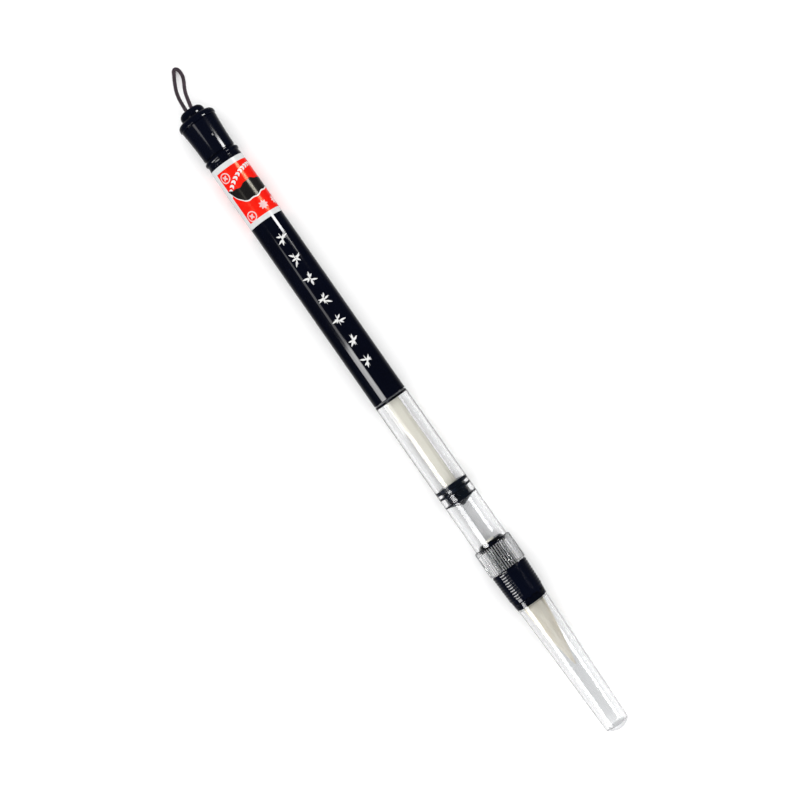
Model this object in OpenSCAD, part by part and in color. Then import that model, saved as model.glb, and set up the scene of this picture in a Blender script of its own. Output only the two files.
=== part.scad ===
// Refillable brush pen, lying along X with its tail at -X and its cap at +X.
// The origin is on the surface it lies on, under the middle of its length.
// Turning the tail knob turns a steep-threaded spindle, which pushes a keyed rod
// and a rubber piston along the clear reservoir. Ink passes through the section's
// wick to a goat-hair tuft, and a clear cap is pushed on over it.

/* [Handle] */
// Outer diameter of the handle tube and of the clear reservoir
handle_d = 11; // [10.9:0.05:11.1]
// Length of the black handle tube
handle_len = 86.2; // [84:0.1:90]
// Diameter of the handle's main bore
handle_bore_d = 8.4; // [8:0.1:8.6]
// Length of the paper label
label_len = 21; // [15:0.5:25]
// Thickness of the paper label
label_thick = 0.08; // [0.05:0.01:0.12]

/* [Tail knob] */
// Length of the turning knob, without its end boss
knob_len = 13.4; // [13:0.1:15]
// Diameter of the knob's flange
flange_d = 12.4; // [12.2:0.1:12.8]
// Diameter of the knob at its narrow end
knob_waist_d = 10.7; // [10.5:0.1:10.9]
// Length of the end boss that the hanging loop leaves
boss_len = 2.55; // [2.3:0.05:3]
// Diameter of the end boss
boss_d = 8; // [7.6:0.1:8.4]
// Width of the fixed collar that shows between the knob and the handle
collar_len = 2.9; // [2.7:0.1:3.2]

/* [Reservoir] */
// Length of the clear reservoir that shows, with its knurl
reservoir_len = 62.2; // [60:0.1:66]
// Bore of the reservoir
reservoir_bore_d = 9; // [8.95:0.05:9.05]
// Length of the knurled end
knurl_len = 8.7; // [8:0.1:9.5]
// Number of knurl ribs
knurl_count = 48; // [36:1:60]
// Depth of the grooves between the ribs
knurl_depth = 0.28; // [0.15:0.01:0.32]

/* [Piston drive] */
// Diameter of the piston rod
rod_d = 4.5; // [4.4:0.05:4.6]
// Distance across the rod's two flats
rod_flats = 4; // [3.95:0.01:4.1]
// Diameter over the spindle's thread
spindle_d = 2.6; // [2.4:0.05:2.65]
// Distance from the junction to the back of the piston at rest
piston_at = 31.8; // [29:0.1:33]

/* [Section and tuft] */
// Length of the ringed grip
grip_len = 10; // [9:0.1:11]
// Diameter of the grip at its reservoir end
grip_back_d = 11.96; // [11.6:0.02:12.2]
// Diameter of the grip at its front end
grip_front_d = 11.36; // [11.2:0.02:11.6]
// Number of finger rings
ring_count = 10; // [8:1:15]
// Diameter of the nose that holds the cap
nose_d = 9.2; // [9:0.1:9.3]
// Length of the hair that shows
tuft_len = 22.9; // [15:0.1:26]
// Diameter of the tuft at its base
tuft_d = 6.8; // [6.4:0.1:7]

/* [Cap] */
// Length of the cap
cap_len = 48.4; // [44:0.1:52]
// Diameter of the cap at its mouth
cap_mouth_d = 10.84; // [10.7:0.02:11]
// Diameter of the cap just before its domed end
cap_tip_d = 7.84; // [7.6:0.02:8.4]
// Length of the domed end
cap_dome_len = 2.2; // [1.8:0.1:2.6]

/* [Hanging loop] */
// Diameter of the braided cord
cord_d = 1.2; // [1:0.1:1.3]

/* [Hidden] */

// Clearances: between fixed pieces, between pieces that slide or turn, and end to end
fixed_gap = 0.01;
run_gap = 0.05;
end_gap = 0.1;
// How far a cutting shape runs past the face it opens
cut = 1;
// Bevels of moulded edges: broad, and fine
bevel = 0.3;
fine_bevel = 0.2;
round_fn = 96;
small_fn = 48;

// Gap that shows between the grip's front edge and the cap's mouth
cap_gap = 0.5;
total_len = boss_len + knob_len + end_gap + collar_len + handle_len
    + reservoir_len + grip_len + cap_gap + cap_len;
// The widest ring carries the pen, so the axis is this high
axis_z = flange_d / 2;
// How far the nose reaches into the cap
nose_len = 2.1;

// Stations along X
x_tail = -total_len / 2;
x_knob = x_tail + boss_len;
x_knob_end = x_knob + knob_len;
x_collar = x_knob_end + end_gap;
x_handle = x_collar + collar_len;
x_junction = x_handle + handle_len;
x_reservoir_end = x_junction + reservoir_len;
x_knurl = x_reservoir_end - knurl_len;
x_grip_end = x_reservoir_end + grip_len;
x_cap = x_grip_end + cap_gap;
x_cap_end = x_cap + cap_len;
x_nose_end = x_cap + nose_len;
x_piston = x_junction + piston_at;

handle_r = handle_d / 2;
bore_r = reservoir_bore_d / 2;
flange_r = flange_d / 2;
waist_r = knob_waist_d / 2;
boss_r = boss_d / 2;
nose_r = nose_d / 2;

// Label: distance from the handle's tail end
label_at = 0.7;

// Collar: its spigot is pressed into the handle, and the spindle turns in it
collar_spigot_r = 4.6;
collar_spigot_len = 6;
collar_step = 0.3;
collar_neck_len = 0.8;
collar_neck_drop = 0.12;
bead_at = 1.15;
bead_half = 0.8;
bead_rise = 0.28;
bead_end_a = 60;

// Joint of the reservoir and the handle, and the guide inside it
spigot_r = handle_r - 0.5;
spigot_len = 6.5;
shoulder_chamfer = 0.45;
guide_inset = 0.5;
guide_front = 1.2;
guide_land = 1;
guide_ring = 0.7;
guide_relief = 0.5;
guide_slope = 0.2;

// Knurl: share of a pitch that is flat, and where the groove is deepest
knurl_flat = 0.4;
knurl_groove = 0.7;

// Knob: room for the loop's knot, the flange's edge and the flare
knot_room_r = 3.3;
knot_room_len = 5.5;
flange_edge = 2.4;
flange_round = 1.5;
flange_step = 0.2;
flange_bevel = 0.4;
flare_drop = 0.27;
flare_gap = 0.4;
flare_steps = 6;

// Cross pin of the knob
pin_r = 0.4;
pin_at = 8.2;
pin_tilt = 18;
pin_out_r = 5.15;
pin_floor = 0.3;

// End boss, knot and the loop's two strands
boss_round = 1.7;
boss_face_in = 1.6;
boss_plug_len = 1.6;
strand_y = 0.95;
loop_hole_r = 1.65;
knot_at = 3.4;
knot_r = 1.7;

// Spindle: shaft, thrust flange and tip
shaft_r = 1.7;
shaft_in_knob = 7;
thrust_flange_r = 3.4;
thrust_flange_len = 1;
spindle_tip = 5.1;
tip_bevel = 0.5;

// Rod: nut at its back, bore for the spindle, and a barbed nose for the seal
nut_r = 1.7;
nut_len = 4;
rod_bore_r = 1.5;
rod_bore_len = 46;
rod_back = 21.1;
rod_nose_r = 1.6;
rod_nose_len = 4.2;
barb_at = 2.4;
barb_len = 1;
barb_rise = 0.5;

// Piston seal: where each lip starts and ends, and the size of its waist and point
seal_r = bore_r - 0.04;
seal_waist_r = 4.05;
seal_lips = [[0, 1.2], [2.1, 2.8], [5.2, 5.8]];
lip_slope = 0.2;
seal_len = 7.5;
seal_point_r = 0.3;

// Section: spigot in the reservoir, thread, seal groove and sockets
plug_len = 9.75;
plug_r = bore_r - run_gap;
plug_chamfer = 0.85;
plug_face_r = plug_r - 0.75;
thread_r = bore_r + 0.38;
thread_socket_r = bore_r + 0.45;
thread_len = 4.1;
oring_at = 2.65;
oring_wire_r = 0.4;
oring_seat_gap = 0.02;
oring_groove_r = 3.66;
oring_groove_len = 1.1;
sleeve_r = 3.75;
sleeve_wall = 0.3;
sleeve_len = 9;
wick_r = 1.5;
wick_proud = 0.4;

// Grip: rings of this height, and where each ring's top starts and ends in its pitch
ring_height = 0.2;
ring_start = 0.3;
ring_end = 0.7;
ring_margin = 0.3;
grip_round = 0.5;

// Root of the hair: its thread sits in one shallow channel
root_r = sleeve_r - sleeve_wall - fixed_gap;
root_at = 1;
root_back = 0.3;
binding_r = 0.25;
binding_count = 3;
binding_at = 2.7;
binding_pitch = 0.6;

// Hair tuft: its base sits inside the sleeve, and its belly follows a power curve
tuft_seat = 0.29;
tuft_seat_gap = 0.1;
tuft_tip_r = 0.15;
tuft_tip_len = 0.15;
tuft_belly = 1.3;
tuft_steps = 8;

// Cap: socket for the nose, then a taper inside and out
cap_wall = 0.74;
cap_end_wall = 0.84;
socket_r = nose_r + 0.06;
socket_len = 2.45;
cap_neck_at = 4.5;
cap_neck_r = 4.95;
cap_shoulder_r = 5.12;
cap_lip = 0.15;
cap_inner_step = 0.1;
dome_steps = 8;

// Route of the loop's cord, from the boss's hole out, down to the surface and back.
// Each point is the distance out from the boss's face, the distance across, and the
// height as a share: 1 is level with the pen's axis, and 0 lies on the surface.
loop_route = [
    [0, strand_y, 1], [0.9, 0.98, 1], [1.8, 1.2, 0.98], [3, 1.45, 0.93], [4.3, 1.75, 0.85],
    [5.6, 2.15, 0.74], [6.9, 2.7, 0.61], [8.2, 3.35, 0.46], [9.5, 3.9, 0.32], [10.8, 4.2, 0.19],
    [12, 4.22, 0.09], [12.9, 4.05, 0.04], [13.5, 3.6, 0.02], [13.45, 3, 0.02], [12.9, 2.55, 0.05],
    [12, 2.1, 0.1], [10.8, 1.45, 0.19], [9.5, 0.85, 0.32], [8.2, 0.3, 0.46], [6.9, -0.15, 0.61],
    [5.6, -0.45, 0.74], [4.3, -0.68, 0.85], [3, -0.8, 0.93], [1.8, -0.87, 0.98], [0.9, -0.93, 1],
    [0, -strand_y, 1]
];
cord_sides = 8;

// A turned solid: points are [radius, x]
module lathe(points, facets = round_fn) {
    translate([0, 0, axis_z])
        rotate([0, 90, 0])
            rotate_extrude($fn = facets)
                polygon(points);
}

// A round bar along X from one station to another
module bar(radius, from_x, to_x, facets = round_fn) {
    translate([from_x, 0, axis_z])
        rotate([0, 90, 0])
            cylinder(h = to_x - from_x, r = radius, $fn = facets);
}

// Points of part of an ellipse: centre [r, x], half sizes, start and end angle
function arc(centre, half_r, half_x, from_a, to_a, steps = 6) = [
    for (i = [0 : steps])
        let (a = from_a + (to_a - from_a) * i / steps)
            [centre[0] + half_r * cos(a), centre[1] + half_x * sin(a)]
];

// Black handle tube, counterbored at both ends
module handle_tube() {
    front_step = x_junction - spigot_len - end_gap;
    back_step = x_handle + collar_spigot_len + end_gap;
    color([0.02, 0.02, 0.05])
        difference() {
            bar(handle_r, x_handle, x_junction);
            bar(handle_bore_d / 2, x_handle - cut, x_junction + cut);
            bar(collar_spigot_r, x_handle - cut, back_step);
            bar(spigot_r + fixed_gap * 2, front_step, x_junction + cut);
        }
}

// Paper label wrapped round the tail end of the handle
module paper_label() {
    from_x = x_handle + label_at;
    to_x = from_x + label_len;
    color([0.9, 0.1, 0.05])
        difference() {
            bar(handle_r + label_thick, from_x, to_x);
            bar(handle_r + fixed_gap / 2, from_x - cut, to_x + cut);
        }
}

// Fixed collar with its bead, which carries the spindle
module tail_collar() {
    base_r = waist_r - collar_step;
    bead_x = x_collar + bead_at;
    bead_r = handle_r + bead_rise;
    end_x = x_handle + collar_spigot_len;
    fit_r = collar_spigot_r - fixed_gap;
    color([0.03, 0.03, 0.06])
        lathe(concat(
            [[shaft_r + run_gap, x_collar], [base_r, x_collar], [base_r, bead_x - bead_half]],
            arc([base_r, bead_x], bead_r - base_r, bead_half, -90, bead_end_a),
            [[handle_r - collar_neck_drop, x_handle - collar_neck_len], [handle_r - run_gap, x_handle]],
            [[fit_r, x_handle], [fit_r, end_x], [shaft_r + run_gap, end_x]]
        ));
}

// Profile of the rod: a round bar with two flats, along X
module rod_profile(grow, from_x, to_x) {
    intersection() {
        bar(rod_d / 2 + grow, from_x, to_x);
        translate([from_x - cut, -rod_d, axis_z - rod_flats / 2 - grow])
            cube([to_x - from_x + cut * 2, rod_d * 2, rod_flats + grow * 2]);
    }
}

// Black guide in the reservoir's spigot; its flats stop the rod turning
module rod_guide() {
    back_x = x_junction - spigot_len + guide_inset;
    front_x = x_junction + guide_front;
    ring_x = front_x - guide_ring;
    land_r = bore_r - fixed_gap;
    relief_r = bore_r - guide_relief;
    color([0.03, 0.03, 0.05])
        difference() {
            lathe([
                [0, back_x], [land_r, back_x], [land_r, back_x + guide_land],
                [relief_r, back_x + guide_land + guide_slope], [relief_r, ring_x - guide_slope],
                [land_r, ring_x], [land_r, front_x], [0, front_x]
            ]);
            rod_profile(run_gap, back_x - cut, front_x + cut);
        }
}

// Outline of the knurl: flat-topped ribs with vee grooves between them
module knurl_outline() {
    pitch = 360 / knurl_count;
    steps = [[0, 0], [knurl_flat, 0], [knurl_groove, knurl_depth]];
    polygon([
        for (i = [0 : knurl_count - 1], step = steps)
            let (a = (i + step[0]) * pitch)
            let (r = flange_r - step[1])
                [r * cos(a), r * sin(a)]
    ]);
}

// Clear reservoir with a spigot for the handle and a knurled end
module reservoir_tube() {
    back_x = x_junction - spigot_len;
    end_x = x_reservoir_end;
    color([0.85, 0.88, 0.9, 0.4])
        difference() {
            union() {
                lathe([
                    [0, back_x], [spigot_r, back_x], [spigot_r, x_junction],
                    [handle_r, x_junction + shoulder_chamfer], [handle_r, end_x], [0, end_x]
                ]);
                intersection() {
                    translate([x_knurl, 0, axis_z])
                        rotate([0, 90, 0])
                            linear_extrude(height = knurl_len)
                                knurl_outline();
                    lathe([
                        [0, x_knurl], [flange_r - bevel, x_knurl], [flange_r, x_knurl + bevel],
                        [flange_r, end_x - bevel], [flange_r - bevel, end_x], [0, end_x]
                    ]);
                }
            }
            bar(bore_r, back_x - cut, end_x + cut);
            bar(thread_socket_r, end_x - thread_len, end_x + cut);
        }
}

// Place a shape so that its Z runs outwards along the knob pin
module along_pin() {
    translate([x_knob + pin_at, 0, axis_z])
        rotate([-pin_tilt, 0, 0])
            children();
}

// Turning knob: a domed flange and a flared waist, hollow for the knot
module tail_knob() {
    flange_x = x_knob + flange_edge;
    dome_r = boss_r + flange_step;
    flare = flange_r - flare_drop - waist_r;
    flare_x = x_knob_end - fine_bevel;
    flare_len = x_knob_end - flange_x - flare_gap;
    shaft_x = x_knob_end - shaft_in_knob;
    color([0.03, 0.03, 0.06])
        difference() {
            lathe(concat(
                [[0, x_knob]],
                arc([dome_r, x_knob + flange_round], flange_r - dome_r, flange_round, -90, 0),
                [[flange_r, flange_x - flange_step], [flange_r - flange_bevel, flange_x + run_gap]],
                [for (i = [flare_steps : -1 : 0])
                    let (share = i / flare_steps)
                        [waist_r + flare * pow(share, 2), flare_x - flare_len * share]],
                [[waist_r - fine_bevel, x_knob_end], [0, x_knob_end]]
            ));
            bar(knot_room_r, x_knob - cut, x_knob + knot_room_len);
            bar(shaft_r + fixed_gap, shaft_x - end_gap, x_knob_end + cut);
            along_pin()
                cylinder(h = flange_r + cut, r = pin_r, $fn = small_fn);
        }
}

// Rounded plug in the end of the knob, with the loop's hole
module loop_boss() {
    plug_x = x_knob + boss_plug_len;
    face_r = boss_r - boss_face_in;
    fit_r = knot_room_r - fixed_gap;
    fit_x = x_knob - fixed_gap;
    color([0.03, 0.03, 0.06])
        difference() {
            lathe(concat(
                [[0, x_tail]],
                arc([face_r, x_tail + boss_round], boss_r - face_r, boss_round, -90, 0),
                [[boss_r, fit_x], [fit_r, fit_x], [fit_r, plug_x], [0, plug_x]]
            ));
            bar(loop_hole_r, x_tail - cut, plug_x + cut);
        }
}

// Knot of the loop inside the knob, with the two strands that pass the boss
module loop_knot() {
    color([0.12, 0.06, 0.12])
        union() {
            translate([x_knob + knot_at, 0, axis_z])
                sphere(r = knot_r, $fn = small_fn);
            for (side = [-1, 1])
                translate([0, side * strand_y, 0])
                    bar(cord_d / 2, x_tail + fixed_gap, x_knob + knot_at, small_fn);
        }
}

// Points and faces of a cord swept along a path
function unit(v) = v / norm(v);
function route_dir(path, i) = unit(path[min(i + 1, len(path) - 1)] - path[max(i - 1, 0)]);
function ring_points(centre, dir, radius, sides) =
    let (side_dir = unit(cross(dir, [0, 0, 1])))
    let (up_dir = cross(side_dir, dir))
        [for (k = [0 : sides - 1])
            let (a = 360 * k / sides)
                centre + radius * (cos(a) * side_dir + sin(a) * up_dir)];
function swept_points(path, radius, sides) = [
    for (i = [0 : len(path) - 1])
        let (ends = i == 0 || i == len(path) - 1)
        let (dir = ends ? [i == 0 ? -1 : 1, 0, 0] : route_dir(path, i))
            each ring_points(path[i], dir, radius, sides)
];
function swept_faces(rings, sides) = concat(
    [[for (k = [0 : sides - 1]) k]],
    [for (i = [0 : rings - 2], k = [0 : sides - 1])
        let (a = i * sides + k)
        let (b = i * sides + (k + 1) % sides)
            [a, a + sides, b + sides, b]],
    [[for (k = [sides - 1 : -1 : 0]) (rings - 1) * sides + k]]
);

// Hanging loop of braided cord
module hanging_loop() {
    cord_r = cord_d / 2;
    path = [for (p = loop_route) [x_tail - p[0], p[1], cord_r + (axis_z - cord_r) * p[2]]];
    color([0.12, 0.06, 0.12])
        polyhedron(
            points = swept_points(path, cord_r, cord_sides),
            faces = swept_faces(len(path), cord_sides)
        );
}

// Spindle: shaft in the collar and knob, thrust flange, then the threaded length
module drive_spindle() {
    head_x = x_knob_end - shaft_in_knob;
    flange_x = x_handle + collar_spigot_len + end_gap;
    screw_x = flange_x + thrust_flange_len;
    tip_x = x_junction - spindle_tip;
    screw_r = spindle_d / 2;
    color([0.75, 0.75, 0.72])
        difference() {
            lathe([
                [0, head_x], [shaft_r, head_x], [shaft_r, flange_x], [thrust_flange_r, flange_x],
                [thrust_flange_r, screw_x], [screw_r, screw_x],
                [screw_r, tip_x - tip_bevel], [screw_r - tip_bevel, tip_x], [0, tip_x]
            ]);
            along_pin()
                translate([0, 0, pin_floor - shaft_r])
                    cylinder(h = shaft_r * 2, r = pin_r, $fn = small_fn);
        }
}

// Cross pin that locks the knob to the spindle
module knob_pin() {
    from_z = pin_floor + end_gap - shaft_r;
    color([0.1, 0.1, 0.12])
        along_pin()
            translate([0, 0, from_z])
                cylinder(h = pin_out_r - from_z, r = pin_r - fixed_gap, $fn = small_fn);
}

// Barbed nose of the rod, or the space for it when grown
module barbed_nose(grow) {
    nose_from = x_piston - cut;
    barb_x = x_piston + barb_at;
    nose_to = x_piston + rod_nose_len + grow;
    barb_r = rod_nose_r + barb_rise + grow;
    shank_r = rod_nose_r + grow;
    lathe([
        [0, nose_from], [shank_r, nose_from], [shank_r, barb_x - grow], [barb_r, barb_x - grow],
        [shank_r, barb_x + barb_len + grow], [shank_r, nose_to], [0, nose_to]
    ]);
}

// Ivory rod: hollow for the spindle, with a barbed nose for the seal
module piston_rod() {
    back_x = x_junction - rod_back;
    color([0.93, 0.91, 0.82])
        difference() {
            union() {
                rod_profile(0, back_x, x_piston - fixed_gap);
                barbed_nose(0);
            }
            bar(rod_bore_r, back_x - cut, back_x + rod_bore_len);
            bar(nut_r + fixed_gap, back_x - cut, back_x + nut_len);
        }
}

// Nut in the back of the rod, which rides on the spindle's thread
module rod_nut() {
    back_x = x_junction - rod_back;
    color([0.2, 0.2, 0.22])
        difference() {
            bar(nut_r, back_x, back_x + nut_len - fixed_gap, small_fn);
            bar(spindle_d / 2 + run_gap, back_x - cut, back_x + nut_len + cut, small_fn);
        }
}

// Rubber piston: three lips with waists between them, and a cone
module piston_seal() {
    last = len(seal_lips) - 1;
    color([0.05, 0.05, 0.07])
        difference() {
            lathe(concat(
                [[0, x_piston]],
                [for (i = [0 : last], point = [0 : 3])
                    let (start = point < 2)
                    let (on_lip = point == 1 || point == 2)
                    let (slope = on_lip ? 0 : start ? -lip_slope : lip_slope)
                    if (!(i == 0 && point == 0) && !(i == last && point == 3))
                        [on_lip ? seal_r : seal_waist_r, x_piston + seal_lips[i][start ? 0 : 1] + slope]],
                [[seal_point_r, x_piston + seal_len], [0, x_piston + seal_len]]
            ));
            barbed_nose(fixed_gap);
        }
}

// Seal ring on the section's spigot
module section_oring() {
    ring_x = x_reservoir_end - plug_len + oring_at;
    ring_r = oring_groove_r + oring_seat_gap + oring_wire_r;
    color([0.05, 0.05, 0.05])
        translate([ring_x, 0, axis_z])
            rotate([0, 90, 0])
                rotate_extrude($fn = round_fn)
                    translate([ring_r, 0])
                        circle(r = oring_wire_r, $fn = small_fn);
}

// Radius of the grip's rings at a station, from its back to its front end
function grip_r(share) = (grip_back_d + (grip_front_d - grip_back_d) * share) / 2;

// Black section: spigot and thread, ringed grip, and the nose that holds the cap
module grip_section() {
    back_x = x_reservoir_end - plug_len;
    thread_x = x_reservoir_end - thread_len + end_gap;
    groove_x = back_x + oring_at - oring_groove_len / 2;
    shoulder_x = x_reservoir_end + run_gap;
    rings_x = shoulder_x + ring_margin;
    rings_len = grip_len - grip_round * 2;
    valley_r = grip_r(0) - ring_height;
    edge_r = grip_r(1) - grip_round - end_gap;
    socket_x = x_nose_end - sleeve_len;
    ring_steps = [[ring_start, 0], [ring_end, 0], [1, ring_height]];
    color([0.03, 0.03, 0.06])
        difference() {
            lathe(concat(
                [[0, back_x], [plug_face_r, back_x], [plug_r, back_x + plug_chamfer]],
                [[plug_r, groove_x], [oring_groove_r, groove_x]],
                [[oring_groove_r, groove_x + oring_groove_len], [plug_r, groove_x + oring_groove_len]],
                [[plug_r, thread_x], [thread_r, thread_x + bevel], [thread_r, shoulder_x]],
                [[valley_r, shoulder_x], [valley_r, rings_x]],
                [for (i = [0 : ring_count - 1], step = ring_steps)
                    let (share = (i + step[0]) / ring_count)
                        [grip_r(share) - step[1], rings_x + rings_len * share]],
                arc([edge_r, x_grip_end - grip_round], grip_round, grip_round, 0, 90),
                [[nose_r, x_grip_end], [nose_r, x_nose_end - fine_bevel]],
                [[nose_r - fine_bevel, x_nose_end], [0, x_nose_end]]
            ));
            bar(sleeve_r + fixed_gap, socket_x, x_nose_end + cut);
            bar(wick_r + fixed_gap, back_x - cut, x_nose_end);
        }
}

// Fibre wick that carries ink from the reservoir to the tuft
module ink_feed() {
    back_x = x_reservoir_end - plug_len - wick_proud;
    color([0.9, 0.88, 0.8])
        bar(wick_r, back_x, x_nose_end - sleeve_len + root_at - fixed_gap, small_fn);
}

// Sleeve that holds the root of the tuft in the nose
module tuft_sleeve() {
    back_x = x_nose_end - sleeve_len + fixed_gap;
    color([0.85, 0.83, 0.75])
        difference() {
            bar(sleeve_r, back_x, x_nose_end - end_gap);
            bar(sleeve_r - sleeve_wall, back_x - cut, x_nose_end + cut);
        }
}

// Glued root of the hair bundle, inside the sleeve
module tuft_root() {
    back_x = x_nose_end - sleeve_len + root_at;
    front_x = x_nose_end - root_back;
    channel_x = x_nose_end - sleeve_len + binding_at;
    channel_end = channel_x + binding_count * binding_pitch;
    channel_r = root_r - (binding_r + fixed_gap) * 2;
    color([0.7, 0.55, 0.35])
        lathe([
            [0, back_x], [root_r, back_x], [root_r, channel_x], [channel_r, channel_x],
            [channel_r, channel_end], [root_r, channel_end], [root_r, front_x], [0, front_x]
        ]);
}

// Thread wound round the root of the hair
module tuft_binding() {
    first_x = x_nose_end - sleeve_len + binding_at + binding_pitch / 2;
    color([0.95, 0.95, 0.9])
        for (i = [0 : binding_count - 1])
            translate([first_x + i * binding_pitch, 0, axis_z])
                rotate([0, 90, 0])
                    rotate_extrude($fn = small_fn)
                        translate([root_r - binding_r - fixed_gap, 0])
                            circle(r = binding_r, $fn = small_fn);
}

// Hair tuft: full at its base, with a slight belly and a fine point
module brush_tuft() {
    base_r = tuft_d / 2;
    seat_r = base_r - tuft_seat_gap;
    point_x = x_nose_end + run_gap + tuft_len;
    color([0.95, 0.9, 0.78])
        lathe(concat(
            [[0, x_nose_end - tuft_seat], [seat_r, x_nose_end - tuft_seat], [seat_r, x_nose_end]],
            [for (i = [0 : tuft_steps])
                let (share = i / tuft_steps)
                let (r = base_r - (base_r - tuft_tip_r) * pow(share, tuft_belly))
                    [r, x_nose_end + run_gap + tuft_len * share]],
            [[0, point_x + tuft_tip_len]]
        ));
}

// Clear cap: a short socket, a neck and a long taper with a domed end
module cap() {
    mouth_r = cap_mouth_d / 2;
    tip_r = cap_tip_d / 2;
    dome_x = x_cap_end - cap_dome_len;
    inner_neck_r = cap_neck_r - cap_wall;
    color([0.85, 0.88, 0.9, 0.35])
        difference() {
            lathe(concat(
                [[0, x_cap], [mouth_r - cap_lip, x_cap], [mouth_r, x_cap + fine_bevel]],
                [[cap_shoulder_r, x_cap + socket_len], [cap_neck_r, x_cap + cap_neck_at]],
                arc([0, dome_x], tip_r, cap_dome_len, 0, 90, dome_steps)
            ));
            bar(socket_r, x_cap - cut, x_cap + socket_len);
            lathe(concat(
                [[0, x_cap + cut], [inner_neck_r + cap_inner_step, x_cap + cut]],
                [[inner_neck_r, x_cap + cap_neck_at]],
                arc([0, dome_x], tip_r - cap_wall, cap_dome_len - cap_end_wall, 0, 90, dome_steps)
            ));
        }
}

handle_tube();
paper_label();
tail_collar();
rod_guide();
reservoir_tube();
tail_knob();
loop_boss();
loop_knot();
hanging_loop();
drive_spindle();
knob_pin();
piston_rod();
rod_nut();
piston_seal();
section_oring();
grip_section();
ink_feed();
tuft_sleeve();
tuft_root();
tuft_binding();
brush_tuft();
cap();
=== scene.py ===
import math
import random

import bmesh
import bpy
from mathutils import Matrix, Vector


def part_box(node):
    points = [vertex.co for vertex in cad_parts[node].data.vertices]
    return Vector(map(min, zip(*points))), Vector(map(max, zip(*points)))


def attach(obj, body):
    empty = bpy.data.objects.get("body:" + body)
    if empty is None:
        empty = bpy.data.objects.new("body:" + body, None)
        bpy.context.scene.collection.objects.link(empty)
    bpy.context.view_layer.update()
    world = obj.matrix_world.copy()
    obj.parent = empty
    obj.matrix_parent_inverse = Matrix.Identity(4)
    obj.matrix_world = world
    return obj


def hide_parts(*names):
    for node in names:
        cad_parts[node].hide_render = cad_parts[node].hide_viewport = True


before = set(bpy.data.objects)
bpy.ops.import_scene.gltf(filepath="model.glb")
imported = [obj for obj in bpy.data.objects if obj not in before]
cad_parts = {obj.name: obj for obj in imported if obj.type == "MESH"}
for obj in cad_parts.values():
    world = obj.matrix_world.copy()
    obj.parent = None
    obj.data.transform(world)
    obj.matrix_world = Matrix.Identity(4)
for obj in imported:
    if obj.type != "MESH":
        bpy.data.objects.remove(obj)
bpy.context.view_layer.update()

MM = 0.001
TURN = 2 * math.pi

# ---------------------------------------------------------------- places, from the frame


def span(node):
    """Where a CAD node starts and ends along X."""
    low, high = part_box(node)
    return low[0], high[0]


def widest(node):
    """A CAD node's outer radius about the pen's axis."""
    low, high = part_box(node)
    return (high[1] - low[1]) / 2


AXIS_Z = (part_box("handle_tube")[0][2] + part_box("handle_tube")[1][2]) / 2
HANDLE_R = widest("handle_tube")
FLANGE_R = widest("tail_knob")
TAIL_X = span("loop_boss")[0]
KNOB_X, KNOB_END = span("tail_knob")
COLLAR_X = span("tail_collar")[0]
HANDLE_X, JUNCTION_X = span("handle_tube")
RESERVOIR_END = span("reservoir_tube")[1]
PISTON_X = span("piston_seal")[0]
SECTION_X, NOSE_END = span("grip_section")
CAP_X, CAP_END = span("cap")
BORE_R = 4.5 * MM
SHAFT_R = 1.7 * MM
SHAFT_FLANGE_X = HANDLE_X + 6.1 * MM
WET = 0.012 * MM         # how far a wetted rubber or plastic face sits into the clear wall it presses
FIT = 0.01 * MM          # between two faces that meet, so that neither hides in the other

# ---------------------------------------------------------------- camera

VIEW_HEIGHT = 634 * MM
VIEW_TURN = math.radians(55.1)
VIEW_POINT = (-5.5 * MM, 2.05 * MM)


def make_camera():
    data = bpy.data.cameras.new("camera")
    data.lens = 95
    data.sensor_width = 36
    data.clip_start = 0.01
    camera = bpy.data.objects.new("camera", data)
    camera.location = (*VIEW_POINT, AXIS_Z + VIEW_HEIGHT)
    camera.rotation_euler = (0, 0, VIEW_TURN)
    bpy.context.collection.objects.link(camera)
    bpy.context.scene.camera = camera


make_camera()

# ---------------------------------------------------------------- mesh helpers


def piece(name, verts, faces, body, material, stands_for=(), crease=35, closed=True):
    """A mesh object in the row frame that rides on a body."""
    mesh = bpy.data.meshes.new(name)
    mesh.from_pydata(verts, [], faces)
    mesh.validate()
    if closed:
        shell = bmesh.new()
        shell.from_mesh(mesh)
        bmesh.ops.recalc_face_normals(shell, faces=shell.faces)
        shell.to_mesh(mesh)
        shell.free()
    mesh.shade_smooth()
    mesh.set_sharp_from_angle(angle=math.radians(crease))
    obj = bpy.data.objects.new(name, mesh)
    bpy.context.collection.objects.link(obj)
    obj.data.materials.append(material)
    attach(obj, body)
    if stands_for:
        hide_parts(*stands_for)
    return obj


def second_finish(obj, material, covers):
    """Gives another material to the faces whose middle (x, radius) passes the test."""
    obj.data.materials.append(material)
    for face in obj.data.polygons:
        x, y, z = face.center
        if covers(x, math.hypot(y, z - AXIS_Z)):
            face.material_index = len(obj.data.materials) - 1


def mixed(a, b, share):
    return tuple(p + (q - p) * share for p, q in zip(a, b))


def filleted(corners, steps=4):
    """An outline of (x, r, fillet) corners, each fillet drawn as a short curve."""
    outline = []
    count = len(corners)
    for i, (x, r, fillet) in enumerate(corners):
        here = (x, r)
        before = corners[i - 1][:2]
        after = corners[(i + 1) % count][:2]
        if fillet <= 0:
            outline.append(here)
            continue
        cut_in = min(0.49, fillet / max(math.dist(here, before), 1e-9))
        cut_out = min(0.49, fillet / max(math.dist(here, after), 1e-9))
        start = mixed(here, before, cut_in)
        end = mixed(here, after, cut_out)
        for k in range(steps + 1):
            t = k / steps
            outline.append(mixed(mixed(start, here, t), mixed(here, end, t), t))
    return outline


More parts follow.
